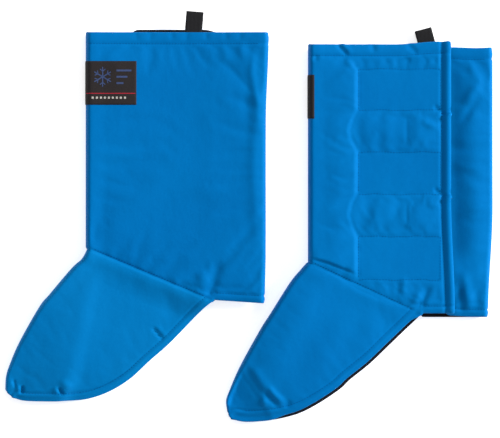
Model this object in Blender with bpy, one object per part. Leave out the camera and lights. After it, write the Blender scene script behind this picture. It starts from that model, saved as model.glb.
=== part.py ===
"""A pair of padded cryogenic gaiters lying flat, side by side, with their toes pointing down and to the left.

Each gaiter is one wall of shell, insulation and lining, wrapped round the lower leg and sewn along a slanting
ankle seam to a foot cover that is open below. The wall laps over itself on the inner (medial) side of the leg,
where the closure flap is held by three rows of hook and loop tape. The right gaiter lies with its closure up.
The left gaiter lies on its closure. Lengths are in millimetres and become metres where a mesh is made.

In a gaiter's own frame x runs from the front fold to the back fold, y up the leg from the heel, and z is the
depth from the outer (lateral) side, so that the closure is on top. The left gaiter is turned over in place.
"""

import math

import bmesh
import bpy
from mathutils import Vector

MM = 0.001

# Layers of the wall, as depths from the outside of the hems, which stand proud of the shell.
GAP = 0.3
HEM_DEPTH = (0.0, 4.0)
SHELL_DEPTH = (0.9, 1.7)
INSULATION_DEPTH = (2.0, 5.0)
LINING_DEPTH = (5.3, 6.1)
LABEL_DEPTH = (0.0, 0.6)
WALL = LINING_DEPTH[1]
LAYERS = {"shell": SHELL_DEPTH, "insulation": INSULATION_DEPTH, "lining": LINING_DEPTH}

# Heights of the flattened tube.
LEG_CAVITY = 7.0
TAPE = 1.0
BACK_THICKNESS = 2 * WALL + LEG_CAVITY
TAPE_SPACE = 2 * TAPE + 3 * GAP - SHELL_DEPTH[0]
THICKNESS = BACK_THICKNESS + TAPE_SPACE + WALL
TOE_THICKNESS = 15.0

# Leg, as a plan seen from the side.
LEG_TOP = 344.0
LEG_BOTTOM = -2.0
ANKLE_Y = 69.0
HEEL_Y = 2.0
TOP_HEM = 16.0
LOW_HEM = 10.0
HEEL_STEP = 2.0
SEAM_GAP = 0.2

# Closure flap.
FLAP_ROOT_X = 65.0
FLAP_SEAM_X = 170.0
FLAP_EDGE_X = 182.0
FLAP_TOP = 347.0
UNDER_FLAP_END_X = 66.5
TAPE_X = (67.5, 168.0)
TAPE_ROWS = {"top": (261.5, 313.5), "middle": (154.5, 208.0), "bottom": (46.0, 101.0)}

# Trim.
LABEL_Y = (250.5, 306.0)
LABEL_X_OUTER = 66.0
WEBBING = 1.0
TAB_WIDTH = 22.0
TAB_ROOT_Y = 331.5
TAB_HINGE_Y = 349.5
TAB_PLY_GAP = 0.4
STRAP_WIDTH = 25.0
STRAP_LENGTH = 84.0
STRAP_THICKNESS = 1.5
STRAP_FROM_HEM = 11.0

FOLD_STEPS = 6
REAR_STATIONS = 7
TOE_STATIONS = 7
CURVE_STEPS = 16
CURVE_POINTS = 241
NARROWEST_FLAP = 1.5
SHARP_ANGLE = math.radians(35)

# What differs between the two gaiters. The front line runs from the ankle to the toe, and the hem line from the
# heel to the toe, as plan points in the gaiter's own frame.
LEFT = {
    "name": "left",
    "closure_up": False,
    "origin": (-207.2, -110.5),
    "width": 229.0,
    "front": [(0, 69), (-20, 41), (-57, -5), (-84, -51), (-100, -90), (-103, -110)],
    "hem": [(161, 2), (107, -53), (56, -98), (2, -122), (-50, -125), (-88, -122)],
    "tab_x": 137.5,
    "tab_tilt": -4.5,
    "tab_length": 19.5,
    "strap_share": 0.245,
}
RIGHT = {
    "name": "right",
    "closure_up": True,
    "origin": (76.5, -128.05),
    "width": 233.0,
    "front": [(0, 69), (-23, 38), (-49, 2), (-74, -39), (-96, -87), (-104, -108)],
    "hem": [(144, 2), (104, -36), (66, -71), (28, -101), (-20, -125), (-71, -132), (-90, -130)],
    "tab_x": 150.5,
    "tab_tilt": 15.0,
    "tab_length": 15.5,
    "strap_share": 0.2,
}

COLOURS = {
    "shell": ((0.0, 0.17, 0.5), 0.55),
    "insulation": ((0.85, 0.85, 0.82), 0.9),
    "lining": ((0.012, 0.013, 0.02), 0.8),
    "tape": ((0.0, 0.14, 0.42), 0.9),
    "label": ((0.02, 0.018, 0.018), 0.8),
    "webbing": ((0.008, 0.008, 0.009), 0.75),
}


def material_of(slot):
    """The Principled material of a slot, made once."""
    found = bpy.data.materials.get(slot)
    if found:
        return found
    made = bpy.data.materials.new(slot)
    made.use_nodes = True
    shader = made.node_tree.nodes["Principled BSDF"]
    colour, roughness = COLOURS[slot]
    shader.inputs["Base Color"].default_value = (*colour, 1.0)
    shader.inputs["Roughness"].default_value = roughness
    shader.inputs["Metallic"].default_value = 0.0
    return made


def smooth_curve(points):
    """A Catmull-Rom curve through plan points, read at CURVE_POINTS equal lengths."""
    knots = [Vector(p) for p in points]
    knots = [2 * knots[0] - knots[1], *knots, 2 * knots[-1] - knots[-2]]
    fine = []
    for a, b, c, d in zip(knots, knots[1:], knots[2:], knots[3:]):
        for k in range(CURVE_STEPS):
            t = k / CURVE_STEPS
            fine.append(
                0.5 * (2 * b + (c - a) * t + (2 * a - 5 * b + 4 * c - d) * t**2
                       + (3 * b - a - 3 * c + d) * t**3)
            )
    fine.append(knots[-2])
    along = [0.0]
    for p, q in zip(fine, fine[1:]):
        along.append(along[-1] + (q - p).length)
    found = []
    k = 0
    for n in range(CURVE_POINTS):
        at = along[-1] * n / (CURVE_POINTS - 1)
        while k < len(fine) - 2 and along[k + 1] < at:
            k += 1
        share = (at - along[k]) / (along[k + 1] - along[k])
        found.append(fine[k].lerp(fine[k + 1], min(share, 1.0)))
    return found


def spread(first, last, count):
    """count whole numbers from first to last, evenly spaced."""
    return [round(first + (last - first) * k / (count - 1)) for k in range(count)]


class Gaiter:
    """Makes the pieces of one gaiter in its own frame and puts them in place."""

    def __init__(self, facts):
        self.facts = facts
        self.width = facts["width"]
        self.heel_x = facts["hem"][0][0]
        self.front = smooth_curve(facts["front"])
        self.hem = smooth_curve(facts["hem"])
        self.turn = self.last_station_past_root(0.0)
        self.toe_stations = spread(self.turn, CURVE_POINTS - 1, TOE_STATIONS)
        rear = spread(0, self.turn, REAR_STATIONS)[:-1]
        self.all_stations = rear + self.toe_stations
        self.flap_stations = rear + [self.last_station_past_root(NARROWEST_FLAP)]

    def station(self, n):
        """(front point, direction to the hem, length) of a line across the foot cover."""
        start, end = self.front[n], self.hem[n]
        if n == 0:
            start, end = start - Vector((0, SEAM_GAP)), end - Vector((0, SEAM_GAP))
        return start, (end - start).normalized(), (end - start).length

    def root_distance(self, n):
        """Distance along a station's line to the flap's root."""
        start, along, _ = self.station(n)
        return (FLAP_ROOT_X - start.x) / along.x

    def last_station_past_root(self, width):
        """The last station at which the flap is wider than width inside its hem."""
        wide = [
            n for n in range(CURVE_POINTS)
            if self.station(n)[2] - LOW_HEM - self.root_distance(n) > width
        ]
        return wide[-1]

    def world(self, x, y, z, thickness=THICKNESS):
        """A point of the gaiter's frame in the pair's frame, in metres."""
        height = z if self.facts["closure_up"] else thickness - z
        return Vector((self.facts["origin"][0] + x, self.facts["origin"][1] + y, height)) * MM

    def seam_y(self, x):
        """Height of the ankle seam at x, from the front fold down to the heel."""
        return ANKLE_Y + (HEEL_Y - ANKLE_Y) * x / self.heel_x

    def leg_low_y(self, x, inset):
        """Lower edge of the leg's layers: the ankle seam, then the hem at the heel."""
        if x <= self.heel_x:
            return self.seam_y(x) + SEAM_GAP
        return LEG_BOTTOM + inset

    def band(self, name, slot, sections, pivot=None):
        """One solid from sections, each a list of (outer, inner) point pairs in the pair's frame.

        The solid's origin is at pivot, a point of the pair's frame, where the piece turns about a joint."""
        mesh = bmesh.new()
        grid = [[(mesh.verts.new(o), mesh.verts.new(i)) for o, i in pairs] for pairs in sections]
        for one, two in zip(grid, grid[1:]):
            for a, b, c, d in zip(one, one[1:], two[1:], two):
                mesh.faces.new((a[0], b[0], c[0], d[0]))
                mesh.faces.new((a[1], d[1], c[1], b[1]))
            for a, d in ((one[0], two[0]), (one[-1], two[-1])):
                mesh.faces.new((a[0], d[0], d[1], a[1]))
        for pairs in (grid[0], grid[-1]):
            for a, b in zip(pairs, pairs[1:]):
                mesh.faces.new((a[0], a[1], b[1], b[0]))
        bmesh.ops.recalc_face_normals(mesh, faces=mesh.faces)
        if pivot is not None:
            bmesh.ops.translate(mesh, verts=mesh.verts, vec=-pivot)
        data = bpy.data.meshes.new(name)
        mesh.to_mesh(data)
        mesh.free()
        data.materials.append(material_of(slot))
        data.shade_smooth()
        data.set_sharp_from_angle(angle=SHARP_ANGLE)
        piece = bpy.data.objects.new(f"{self.facts['name']}_{name}", data)
        piece.location = pivot or (0, 0, 0)
        bpy.context.scene.collection.objects.link(piece)
        return piece

    def plate(self, name, slot, columns, z_low, z_high, pivot=None):
        """A flat plate between a lower and an upper edge, given as (x, low y, high y) columns."""
        sections = [
            [(self.world(x, y, z_high), self.world(x, y, z_low)) for y in (low, high)]
            for x, low, high in columns
        ]
        return self.band(name, slot, sections, pivot)

    def wrap_profile(self, depth, inset, x_start, x_end):
        """The wall's path round the leg at a depth, as (x, z, low y), from the flap's root to the under flap.

        x_start is where it begins on the medial side, or None to begin at the heel on the lateral side."""
        front = THICKNESS / 2
        back = BACK_THICKNESS / 2
        path = []
        if x_start is not None:
            path.append((x_start, THICKNESS - depth))
            for k in range(FOLD_STEPS + 1):
                turn = math.pi * k / FOLD_STEPS
                path.append((front - (front - depth) * math.sin(turn), front + (front - depth) * math.cos(turn)))
            path.append((self.heel_x, depth))
        path.append((self.heel_x + HEEL_STEP, depth))
        lateral_count = len(path)
        for k in range(FOLD_STEPS + 1):
            turn = math.pi * k / FOLD_STEPS
            path.append(
                (self.width - back + (back - depth) * math.sin(turn), back - (back - depth) * math.cos(turn))
            )
        path.append((x_end, BACK_THICKNESS - depth))
        return [
            (x, z, self.leg_low_y(x, inset) if n < lateral_count else LEG_BOTTOM + inset)
            for n, (x, z) in enumerate(path)
        ]

    def wrap(self, name, slot, depths, y_range, x_start=FLAP_ROOT_X - GAP, x_end=UNDER_FLAP_END_X):
        """A layer of the leg's wall. y_range is (inset of its lower edge, top), or two fixed heights."""
        outer, inner = (self.wrap_profile(d, y_range[0], x_start, x_end) for d in depths)
        sections = []
        for low in (True, False):
            sections.append(
                [
                    (
                        self.world(a[0], a[2] if low else y_range[1], a[1]),
                        self.world(b[0], b[2] if low else y_range[1], b[1]),
                    )
                    for a, b in zip(outer, inner)
                ]
            )
        return self.band(name, slot, sections)

    def thickness_at(self, n):
        """The foot cover's thickness at a station, full to the flap's root and thinner to the toe."""
        share = max(0.0, (n - self.turn) / (CURVE_POINTS - 1 - self.turn))
        return THICKNESS + (TOE_THICKNESS - THICKNESS) * share**1.5

    def foot_layer(self, name, slot, depths):
        """A layer of the foot cover: outer side, front fold and the inner side up to the flap's root."""
        sections = []
        for n in self.all_stations:
            start, along, length = self.station(n)
            thick = self.thickness_at(n)
            radius = thick / 2
            lateral = length - LOW_HEM - GAP
            medial = min(lateral, self.root_distance(n) - GAP)
            ends = [start + along * lateral, start + along * medial]
            pairs = [tuple(self.world(ends[0].x, ends[0].y, d, thick) for d in depths)]
            for k in range(FOLD_STEPS + 1):
                turn = math.pi * k / FOLD_STEPS
                pair = []
                for d in depths:
                    at = start + along * (radius - (radius - d) * math.sin(turn))
                    pair.append(self.world(at.x, at.y, radius - (radius - d) * math.cos(turn), thick))
                pairs.append(tuple(pair))
            pairs.append(tuple(self.world(ends[1].x, ends[1].y, thick - d, thick) for d in depths))
            sections.append(pairs)
        return self.band(name, slot, sections)

    def flap_foot_layer(self, name, slot, depths, pivot):
        """A layer of the foot cover's rear on the inner side, which moves with the closure flap."""
        sections = []
        for n in self.flap_stations:
            start, along, length = self.station(n)
            ends = [start + along * far for far in (self.root_distance(n) + GAP, length - LOW_HEM - GAP)]
            sections.append(
                [tuple(self.world(p.x, p.y, THICKNESS - d) for d in depths) for p in ends]
            )
        return self.band(name, slot, sections, pivot)

    def hem_strip(self, name, stations, medial, pivot=None):
        """The turned edge along the foot cover's hem, past the given stations."""
        sections = []
        for n in stations:
            start, along, length = self.station(n)
            thick = self.thickness_at(n)
            ends = [start + along * (length - LOW_HEM), start + along * length]
            depths = [thick - d if medial else d for d in HEM_DEPTH]
            sections.append([tuple(self.world(p.x, p.y, z, thick) for z in depths) for p in ends])
        return self.band(name, "shell", sections, pivot)

    def make_leg(self):
        top = LEG_TOP - TOP_HEM - GAP
        for layer, depths in LAYERS.items():
            self.wrap(f"leg_{layer}", layer, depths, (LOW_HEM + GAP, top))
        self.make_top_hem()
        self.make_heel_hem()

    def make_top_hem(self):
        """The turned top edge round the whole wall, with the lower edge level."""
        outer, inner = (self.wrap_profile(d, 0, FLAP_ROOT_X - GAP, UNDER_FLAP_END_X) for d in HEM_DEPTH)
        sections = [
            [(self.world(a[0], y, a[1]), self.world(b[0], y, b[1])) for a, b in zip(outer, inner)]
            for y in (LEG_TOP - TOP_HEM, LEG_TOP)
        ]
        self.band("leg_top_hem", "shell", sections)

    def make_heel_hem(self):
        """The turned edge below the heel, from the foot cover round the back fold to the under flap."""
        outer, inner = (self.wrap_profile(d, 0, None, UNDER_FLAP_END_X) for d in HEM_DEPTH)
        sections = [
            [(self.world(a[0], y, a[1]), self.world(b[0], y, b[1])) for a, b in zip(outer, inner)]
            for y in (LEG_BOTTOM, LEG_BOTTOM + LOW_HEM)
        ]
        self.band("leg_heel_hem", "shell", sections)

    def make_foot(self):
        for layer, depths in LAYERS.items():
            self.foot_layer(f"foot_{layer}", layer, depths)
        self.hem_strip("foot_hem_outer_side", self.all_stations, False)
        self.hem_strip("foot_hem_toe", self.toe_stations, True)

    def make_label(self):
        """The woven label on the outer side, which ends most of the way round the front fold."""
        radius = THICKNESS / 2
        sections = []
        for y in LABEL_Y:
            pairs = []
            for depth in LABEL_DEPTH:
                path = []
                for k in range(1, FOLD_STEPS + 1):
                    turn = math.pi * k / FOLD_STEPS
                    path.append(
                        (radius - (radius - depth) * math.sin(turn), radius + (radius - depth) * math.cos(turn))
                    )
                path.append((LABEL_X_OUTER, depth))
                pairs.append([self.world(x, y, z) for x, z in path])
            sections.append(list(zip(*pairs)))
        self.band("label", "label", sections)

    def make_loop_tapes(self):
        low = BACK_THICKNESS - SHELL_DEPTH[0] + GAP
        for row, (y_low, y_high) in TAPE_ROWS.items():
            columns = [(x, y_low, y_high) for x in TAPE_X]
            self.plate(f"loop_tape_{row}", "tape", columns, low, low + TAPE)

    def make_instep_strap(self):
        """The strap that passes under the shoe, sewn inside the hem and tucked flat into the foot cover."""
        n = round(self.facts["strap_share"] * (CURVE_POINTS - 1))
        across = (self.hem[n + 1] - self.hem[n]).normalized()
        inward = Vector((across.y, -across.x))
        if inward.dot(self.front[n] - self.hem[n]) < 0:
            inward = -inward
        start = self.hem[n] + inward * STRAP_FROM_HEM
        low = WALL + GAP
        sections = []
        for side in (-0.5, 0.5):
            ends = [start + across * STRAP_WIDTH * side + inward * far for far in (0.0, STRAP_LENGTH)]
            sections.append(
                [(self.world(p.x, p.y, low + STRAP_THICKNESS), self.world(p.x, p.y, low)) for p in ends]
            )
        self.band("instep_strap", "webbing", sections)

    def flap_pivot(self):
        """A point on the line about which the closure flap opens, on the outside of the wall."""
        return self.world(FLAP_ROOT_X, 0, THICKNESS)

    def make_flap(self):
        """The moving part of the inner side: the closure flap and the rear of the foot cover below it."""
        pivot = self.flap_pivot()
        low = LEG_BOTTOM + LOW_HEM + GAP
        top = FLAP_TOP - TOP_HEM - GAP
        columns = [
            (x, self.seam_y(x) + SEAM_GAP, top) for x in (FLAP_ROOT_X + GAP, self.heel_x)
        ]
        columns += [(x, low, top) for x in (self.heel_x + HEEL_STEP, FLAP_SEAM_X)]
        for layer, depths in LAYERS.items():
            z_high, z_low = (THICKNESS - d for d in depths)
            self.plate(f"flap_{layer}", layer, columns, z_low, z_high, pivot)
            self.flap_foot_layer(f"flap_foot_{layer}", layer, depths, pivot)
        self.hem_strip("flap_foot_hem", self.flap_stations, True, pivot)
        self.make_flap_hem(pivot)
        z_high = THICKNESS - WALL - GAP
        for row, (y_low, y_high) in TAPE_ROWS.items():
            tape_columns = [(x, y_low, y_high) for x in TAPE_X]
            self.plate(f"hook_tape_{row}", "tape", tape_columns, z_high - TAPE, z_high, pivot)

    def make_flap_hem(self, pivot):
        """The turned edge along the flap's top, free edge and bottom, as one strip."""
        inner_top = FLAP_TOP - TOP_HEM
        inner_low = LEG_BOTTOM + LOW_HEM
        inner_x = FLAP_SEAM_X + GAP
        root = FLAP_ROOT_X + GAP
        heel = self.heel_x + HEEL_STEP + GAP
        strip = [
            ((root, FLAP_TOP), (root, inner_top)),
            ((FLAP_EDGE_X, FLAP_TOP), (inner_x, inner_top)),
            ((FLAP_EDGE_X, LEG_BOTTOM), (inner_x, inner_low)),
            ((heel, LEG_BOTTOM), (heel, inner_low)),
        ]
        sections = [
            [tuple(self.world(x, y, THICKNESS - d) for d in HEM_DEPTH) for x, y in ends]
            for ends in strip
        ]
        self.band("flap_hem", "shell", sections, pivot)

    def make_pull_tab(self):
        """A loop of folded webbing: its root is sewn inside the top hem and its free end bends at the edge."""
        tilt = math.radians(self.facts["tab_tilt"])
        middle = HEM_DEPTH[1] + GAP + WEBBING + TAB_PLY_GAP / 2

        def at(across, up, z):
            x = self.facts["tab_x"] + across * math.cos(tilt) - up * math.sin(tilt)
            return self.world(x, TAB_HINGE_Y + across * math.sin(tilt) + up * math.cos(tilt), z)

        def strip(name, path, pivot=None):
            """A webbing strip through (outer, inner) pairs of (up, z)."""
            sections = [
                [(at(side * TAB_WIDTH, *o), at(side * TAB_WIDTH, *i)) for o, i in path]
                for side in (-0.5, 0.5)
            ]
            self.band(name, "webbing", sections, pivot)

        outer, inner = WEBBING + TAB_PLY_GAP / 2, TAB_PLY_GAP / 2
        root_up = TAB_ROOT_Y - TAB_HINGE_Y
        # The root ends far enough back for the free end's corners to turn clear of it.
        root_end = -outer - GAP
        strip("pull_tab_root", [((up, middle + outer), (up, middle - outer)) for up in (root_up, root_end)])
        end = self.facts["tab_length"] - outer
        path = [((GAP, middle + outer), (GAP, middle + inner))]
        for k in range(FOLD_STEPS + 1):
            turn = math.pi * k / FOLD_STEPS
            path.append(tuple((end + r * math.sin(turn), middle + r * math.cos(turn)) for r in (outer, inner)))
        path.append(((GAP, middle - outer), (GAP, middle - inner)))
        strip("pull_tab", path, at(0, 0, middle))

    def make(self):
        self.make_leg()
        self.make_foot()
        self.make_label()
        self.make_loop_tapes()
        self.make_instep_strap()
        self.make_flap()
        self.make_pull_tab()


def main():
    for old in list(bpy.data.objects):
        bpy.data.objects.remove(old)
    for facts in (LEFT, RIGHT):
        Gaiter(facts).make()


main()
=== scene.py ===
"""The looks of a pair of padded cryogenic gaiters, lying flat with their toes down and to the left.

Each gaiter is two padded walls that meet along the front fold. The inner (medial) wall ends in the
closure flap. The outer (lateral) wall runs on round the back fold to the under flap. The walls' cloth is
inflated by a cloth simulation between its seams. Seams, creases and hems come after it.

In a gaiter's own frame lengths are millimetres, x runs from the front fold to the back fold, y up the leg
from the heel, and z from the outer side to the inner side. The left gaiter is turned over in place.
"""

import math

import bmesh
import bpy
import numpy as np
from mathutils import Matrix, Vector
from mathutils.bvhtree import BVHTree


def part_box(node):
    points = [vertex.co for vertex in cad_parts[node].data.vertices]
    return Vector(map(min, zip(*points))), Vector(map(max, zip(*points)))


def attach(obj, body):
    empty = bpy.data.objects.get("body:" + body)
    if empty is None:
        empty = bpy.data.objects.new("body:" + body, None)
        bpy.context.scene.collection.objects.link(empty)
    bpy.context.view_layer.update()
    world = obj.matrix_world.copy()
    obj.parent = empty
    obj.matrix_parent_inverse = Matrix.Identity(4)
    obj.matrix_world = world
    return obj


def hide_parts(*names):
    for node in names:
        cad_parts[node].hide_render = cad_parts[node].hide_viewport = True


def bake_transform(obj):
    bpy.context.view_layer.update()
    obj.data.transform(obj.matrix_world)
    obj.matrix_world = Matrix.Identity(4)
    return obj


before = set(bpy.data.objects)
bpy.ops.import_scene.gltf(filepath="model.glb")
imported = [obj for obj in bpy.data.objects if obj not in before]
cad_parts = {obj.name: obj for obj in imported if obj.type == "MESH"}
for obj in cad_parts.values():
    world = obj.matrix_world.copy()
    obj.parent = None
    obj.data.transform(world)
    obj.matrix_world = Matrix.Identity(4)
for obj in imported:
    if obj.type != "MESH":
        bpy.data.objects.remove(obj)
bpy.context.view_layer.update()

MM = 0.001

# The gaiter, as in the frame.
THICKNESS = 27.3
BACK_THICKNESS = 19.2
TOE_THICKNESS = 19.0
SKIN = 0.9
FRONT_FOLD = 7.0
BACK_FOLD = 6.0
LEG_TOP = 344.0
FLAP_SEAM_X = 170.0
FLAP_EDGE_X = 182.0
FLAP_FLARE = 5.0
UNDER_FLAP_END_X = 68.0
TAPE_X = (67.5, 168.0)
TAPE_THICKNESS = 0.9
HOOK_Z = 20.7
LOOP_Z = 18.7
TAPE_ROWS = ((46.0, 101.0), (154.5, 208.0), (261.5, 313.5))
BOX_X = (64.3, 168.0)
TOP_STITCH = 15.0
FOOT_HEM = 9.0
HEEL_HEM = 10.0
LABEL_Y = (250.5, 306.0)
LABEL_REACH = (-17.0, 74.6)
LABEL_THICKNESS = 0.55
LABEL_GAP = 0.15
MARK_HEIGHT = 0.22
MARK_ROOT = 0.1
TAB_WIDTH = 22.0
TAB_HINGE_Y = 349.5
TAB_ROOT = 17.5
STRAP = (25.0, 84.0)
STRAP_THICKNESS = 1.4
STRAP_Z = 7.2
STRAP_INSET = 11.0
FLOOR_Z = -0.8

# Padding: wall thickness, how far edges stand in from the outline, and how far cloth sinks or puffs.
WALL = 5.6
HEM_WALL = 3.4
LEAST_WALL = 2.4
EDGE_INSET = 1.6
FOOT_INSET = 0.2
SAG = 4.4
DROOP = 3.9
MOST_SUNK = 5.4
MOST_PUFFED = 3.2
PUFF_KEPT = 0.6
TOE_FROM = 0.36

# The walls' grids: their step, the length that rows are counted over, and the column past which the
# under flap begins.
STEP = 4.4
ROWS_LENGTH = 270.0
UNDER_FLAP = 3.5

# The cloth simulation that inflates the walls.
FRAMES = 24
CLOTH = {
    "quality": 6,
    "mass": 0.25,
    "air_damping": 1.0,
    "tension_stiffness": 12,
    "compression_stiffness": 8,
    "shear_stiffness": 4,
    "bending_stiffness": 0.25,
    "shrink_min": -0.022,
    "use_pressure": True,
    "uniform_pressure_force": 5.0,
    "vertex_group_mass": "held",
    "pin_stiffness": 1.0,
}


class Facts:
    """What differs between the gaiters, and where each one lies."""

    def __init__(self, name, closure_up, front, hem, near_inset, tab, seam_depth, hem_groove,
                 ankle_sag, ridge, ridge_fall, slopes, nudge, foot_cloth_and_light):
        self.name = name
        self.closure_up = closure_up
        hem_low, hem_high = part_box(f"{name}_leg_top_hem")
        self.origin = (hem_low[0] / MM + nudge, hem_high[1] / MM - LEG_TOP)
        self.width = (hem_high[0] - hem_low[0]) / MM
        self.heel_x = hem[0][0]
        self.front = smooth_curve(front)
        self.hem = smooth_curve(hem)
        self.near_inset = near_inset
        self.tab = tab
        self.seam_depth = seam_depth
        self.hem_groove = hem_groove
        self.ankle_sag = ankle_sag
        self.ridge = ridge
        self.ridge_fall = ridge_fall
        self.slopes = slopes
        # The foot's cloth: the plain shell, or on the left foot a paler copy with painted light.
        self.foot_cloth_and_light = foot_cloth_and_light

    def place(self, points, thick=THICKNESS):
        """Points of the gaiter's own frame, in millimetres, as points of the pair's frame in metres."""
        placed = np.array(points, float)
        if not self.closure_up:
            placed[..., 2] = thick - placed[..., 2]
        placed[..., 0] += self.origin[0]
        placed[..., 1] += self.origin[1]
        return placed * MM

    @property
    def flip(self):
        return not self.closure_up

    def from_hem(self, x, y):
        """Distance of plan points from the foot cover's hem."""
        return line_distance(x, y, self.hem[::8])[0]


def smoothstep(value, low, high):
    t = np.clip((np.asarray(value, float) - low) / (high - low), 0, 1)
    return t * t * (3 - 2 * t)


def lengths_along(points):
    """Length of a polyline up to each of its points."""
    return np.concatenate([[0], np.cumsum(np.linalg.norm(np.diff(points, axis=0), axis=1))])


def interpolated(wanted, known, values):
    """Rows of values, known at some places, at the wanted places."""
    return np.stack([np.interp(wanted, known, values[..., k]) for k in range(values.shape[-1])], axis=-1)


def unit(vectors):
    """Vectors with a length of 1."""
    return vectors / np.maximum(np.linalg.norm(vectors, axis=-1, keepdims=True), 1e-9)


def smooth_curve(points, count=400):
    """A Catmull-Rom curve through plan points, as count points at equal lengths."""
    knots = np.array(points, float)
    knots = np.vstack([2 * knots[0] - knots[1], knots, 2 * knots[-1] - knots[-2]])
    t = np.linspace(0, 1, 24, endpoint=False)[:, None]
    fine = [
        0.5 * (2 * b + (c - a) * t + (2 * a - 5 * b + 4 * c - d) * t**2 + (3 * b - a - 3 * c + d) * t**3)
        for a, b, c, d in zip(knots, knots[1:], knots[2:], knots[3:])
    ]
    fine = np.vstack([*fine, knots[-2]])
    along = lengths_along(fine)
    return interpolated(np.linspace(0, along[-1], count), along, fine)


def line_distance(x, y, line):
    """(distance, side, share of the length) of plan points from a polyline. The side is 1 on the left."""
    line = np.asarray(line, float)
    lengths = np.linalg.norm(np.diff(line, axis=0), axis=1)
    starts = np.concatenate([[0], np.cumsum(lengths)])
    nearest = np.full(np.shape(x), 1e9)
    side = np.ones(np.shape(x))
    share = np.zeros(np.shape(x))
    for a, b, length, start in zip(line, line[1:], lengths, starts):
        along = (b - a) / length
        reach = np.clip((x - a[0]) * along[0] + (y - a[1]) * along[1], 0, length)
        off_x, off_y = x - a[0] - along[0] * reach, y - a[1] - along[1] * reach
        far = np.hypot(off_x, off_y)
        closer = far < nearest
        nearest = np.where(closer, far, nearest)
        side = np.where(closer, np.sign(along[0] * off_y - along[1] * off_x), side)
        share = np.where(closer, (start + reach) / starts[-1], share)
    return nearest, side, share


def taper(share, ends=0.25):
    """1 in the middle of a line and 0 at its ends."""
    return smoothstep(share, 0, ends) * smoothstep(1 - share, 0, ends)


def groove(distance, depth, width):
    """A rounded groove where distance is 0."""
    return -depth * np.exp(-((distance / width) ** 2))


def crease(x, y, line, width, height, ends=0.25):
    """A ridge along a line, or a valley where height is below 0."""
    distance, _, share = line_distance(x, y, line)
    fade = taper(share, ends) if ends else 1.0
    return height * np.exp(-((distance / width) ** 2)) * fade


def wobble(along):
    """How far hand-guided stitching strays from a straight line."""
    return 0.55 * np.sin(along / 9.0) + 0.3 * np.sin(along / 3.7)


def tuck(x, y, line, rise, reach, ends=0.15):
    """Cloth that bulges on the left of a line and drops sharply at it."""
    distance, side, share = line_distance(x, y, line)
    bulge = np.exp(-((distance / reach) ** 1.4)) * smoothstep(distance, -1.0, 4.5)
    return rise * np.where(side > 0, bulge, 0) * taper(share, ends)


# ---- the shape of each gaiter --------------------------------------------------------------------

LEFT = Facts(
    "left",
    closure_up=False,
    front=[(2.5, 68.6), (-5, 55), (-18, 43), (-46, 10), (-59, -6), (-84, -50), (-97, -80), (-101.5, -95),
           (-102.5, -111)],
    hem=[(161, 2), (145, -12), (107, -51), (81, -74), (56, -97), (30, -113), (4, -122), (-22, -125),
         (-50, -125.5), (-78, -124.5), (-92, -120.5)],
    near_inset=0.0,
    tab=(137.5, -4.5, 19.5),
    seam_depth=0.9,
    hem_groove=0.65,
    ankle_sag=3.4,
    ridge=[(12, 66), (-4, 20), (-18, -40), (-28, -96), (-36, -130)],
    ridge_fall=13.0,
    slopes=(),
    nudge=-0.8,
    # The left foot's cloth is a paler copy of the shell: painted light, where the foot slopes towards the key
    # light.
    foot_cloth_and_light="painted_light_shell",
)
RIGHT = Facts(
    "right",
    closure_up=True,
    front=[(-0.6, 68.6), (-10, 58), (-23, 42), (-48, 2.5), (-61, -18), (-86, -63.5), (-99, -93), (-104, -108),
           (-102.5, -122)],
    hem=[(144, 2.5), (129.5, -11.5), (104, -36), (79, -60), (53, -81), (40.6, -92.7), (15, -110), (-10, -123),
         (-35.6, -130), (-58, -133), (-80, -134), (-96, -131)],
    near_inset=4.4,
    tab=(150.5, 15.0, 15.5),
    seam_depth=0.5,
    hem_groove=1.0,
    ankle_sag=0.0,
    ridge=[(10, 66), (-8, 20), (-36, -40), (-56, -86), (-60, -134)],
    ridge_fall=2.0,
    slopes=(([(-100, -30), (-84, -60), (-70, -80), (-56, -101), (-44, -124), (-38, -140)], 11.0, 44),),
    nudge=-2.0,
    foot_cloth_and_light="shell",
)
PAIR = (LEFT, RIGHT)
# A wall's material slots.
SHELL_SLOT, LINING_SLOT, FOOT_SLOT = range(3)


def flap_flare(y):
    """How far the closure flap's edge stands out towards the heel."""
    return FLAP_FLARE * (1 - smoothstep(y, 0, 150))


def seam_y(facts, x):
    """Height of the ankle seam."""
    notch_x, notch_y = facts.front[0]
    heel_x, heel_y = facts.hem[0]
    return notch_y + (heel_y - notch_y) * (x - notch_x) / (heel_x - notch_x)


def top_y(facts, side, x, under):
    """Height of the top edge at x."""
    if side == "inner" and facts.closure_up:
        return 345.5 + 3.5 * smoothstep(x, 110, 168)
    if side == "inner":
        return 343.0 + 4.0 * smoothstep(x, 57, 66) * (1 - smoothstep(x, 150, 172))
    if facts.closure_up:
        return 341.5 + 0.5 * np.sin(x / 9.0)
    return np.where(under, 341.0, 343.3)


def low_y(facts, side, x, under):
    """Height of the lower edge behind the heel."""
    heel_y = facts.hem[0][1]
    if side == "inner":
        return np.full(np.shape(x), heel_y)
    slope = heel_y - 1.5 - 3.0 * smoothstep(x, facts.heel_x + 15, facts.width - 20)
    if facts.closure_up:
        slope = np.where(under, slope, heel_y - 5.0)
    else:
        slope = heel_y - (x - facts.heel_x) * 0.063
    return np.where(under, slope + 6.5 * (1 - smoothstep(x, 172, 180)), slope)


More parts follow.
